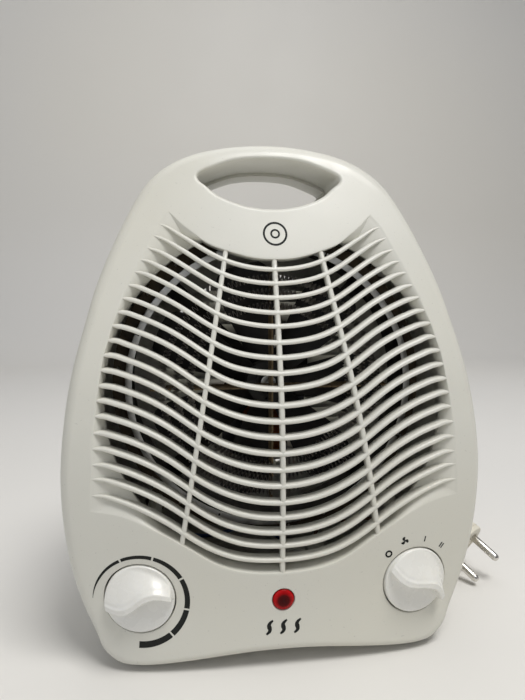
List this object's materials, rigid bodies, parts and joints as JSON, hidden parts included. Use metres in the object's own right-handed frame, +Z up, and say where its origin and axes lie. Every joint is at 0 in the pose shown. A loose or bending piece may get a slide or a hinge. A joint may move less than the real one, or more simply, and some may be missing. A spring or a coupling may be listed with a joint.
{
  "type": "fan heater",
  "caption": "Free-standing fan convector heater with a louvred domed front, a top carrying-handle opening, two rotary controls, an indicator lamp and a cord with plug.",
  "frame": {"origin": "on the table, under the centre of the whole object's bounding box (heater, cord and plug)", "axes": "+Z up; the louvred outlet faces -Y; +X is to the right of a person facing the outlet"},
  "size_m": [0.2584, 0.1626, 0.2692],
  "materials": {
    "shell_plastic": "satin moulded off-white plastic, slightly warm",
    "knob_plastic": "glossy white moulded plastic",
    "rubber": "matt black rubber",
    "screw_zinc": "zinc-plated steel",
    "pin_nickel": "nickel-plated brass, satin",
    "ceramic_white": "white ceramic and moulding",
    "black_phenolic": "black moulded phenolic",
    "lens_red": "deep red translucent plastic",
    "lamp_glass": "clear glass envelope",
    "mica": "mica sheet, brown and flaky",
    "heating_alloy": "oxidised resistance ribbon",
    "sheet_steel": "galvanised sheet steel",
    "core_steel": "varnished electrical steel laminations",
    "copper_enamel": "enamelled copper winding",
    "brass": "sintered bronze",
    "cord_plastic": "off-white flexible PVC",
    "wire_brown": "brown insulation",
    "wire_blue": "blue insulation"
  },
  "bodies": {
    "housing": {"front_cover": "shell_plastic", "rear_cover": "shell_plastic", "foot_1": "rubber", "foot_2": "rubber", "foot_3": "rubber", "foot_4": "rubber", "case_screw_1": "screw_zinc", "case_screw_2": "screw_zinc", "case_screw_3": "screw_zinc", "case_screw_4": "screw_zinc", "thermostat_body": "ceramic_white", "switch_body": "black_phenolic", "indicator_lens": "lens_red", "neon_lamp": "lamp_glass", "mica_board_vertical": "mica", "mica_board_horizontal": "mica", "heating_ribbon_inner": "heating_alloy", "heating_ribbon_middle": "heating_alloy", "heating_ribbon_outer": "heating_alloy", "thermal_cutout": "black_phenolic", "thermal_fuse": "ceramic_white", "heat_shield_ring": "sheet_steel", "heat_baffle": "mica", "motor_mount": "sheet_steel", "ring_screw_1": "screw_zinc", "ring_screw_2": "screw_zinc", "ring_screw_3": "screw_zinc", "ring_screw_4": "screw_zinc", "motor_front_bracket": "sheet_steel", "front_bearing": "brass", "stator_core": "core_steel", "stator_coil": "copper_enamel", "motor_rear_bracket": "sheet_steel", "rear_bearing": "brass", "motor_screw_1": "screw_zinc", "motor_screw_2": "screw_zinc", "strain_relief": "cord_plastic", "plug_body": "cord_plastic", "plug_pin_1": "pin_nickel", "plug_pin_2": "pin_nickel", "power_cord": "cord_plastic", "terminal_block": "ceramic_white", "wire_live": "wire_brown", "wire_neutral": "wire_blue"},
    "thermostat_dial": {"thermostat_knob": "knob_plastic", "thermostat_shaft": "screw_zinc"},
    "switch_dial": {"switch_knob": "knob_plastic", "switch_shaft": "screw_zinc"},
    "fan_rotor": {"fan_impeller": "black_phenolic", "fan_clip": "screw_zinc", "motor_shaft": "screw_zinc", "motor_rotor": "core_steel"}
  },
  "joints": [
    {"name": "thermostat_turn", "type": "hinge", "parent": "housing", "child": "thermostat_dial", "pos_m": [-0.0919, -0.07239, 0.0384], "axis": [-0.1377, -0.9905, 0], "range_deg": [-270, 0]},
    {"name": "switch_turn", "type": "hinge", "parent": "housing", "child": "switch_dial", "pos_m": [0.0477, -0.07239, 0.0384], "axis": [0.1377, -0.9905, 0], "range_deg": [-86, 0]},
    {"name": "fan_spin", "type": "hinge", "parent": "housing", "child": "fan_rotor", "pos_m": [-0.0221, -0.02294, 0.135], "axis": [0, -1, 0], "continuous": true}
  ]
}
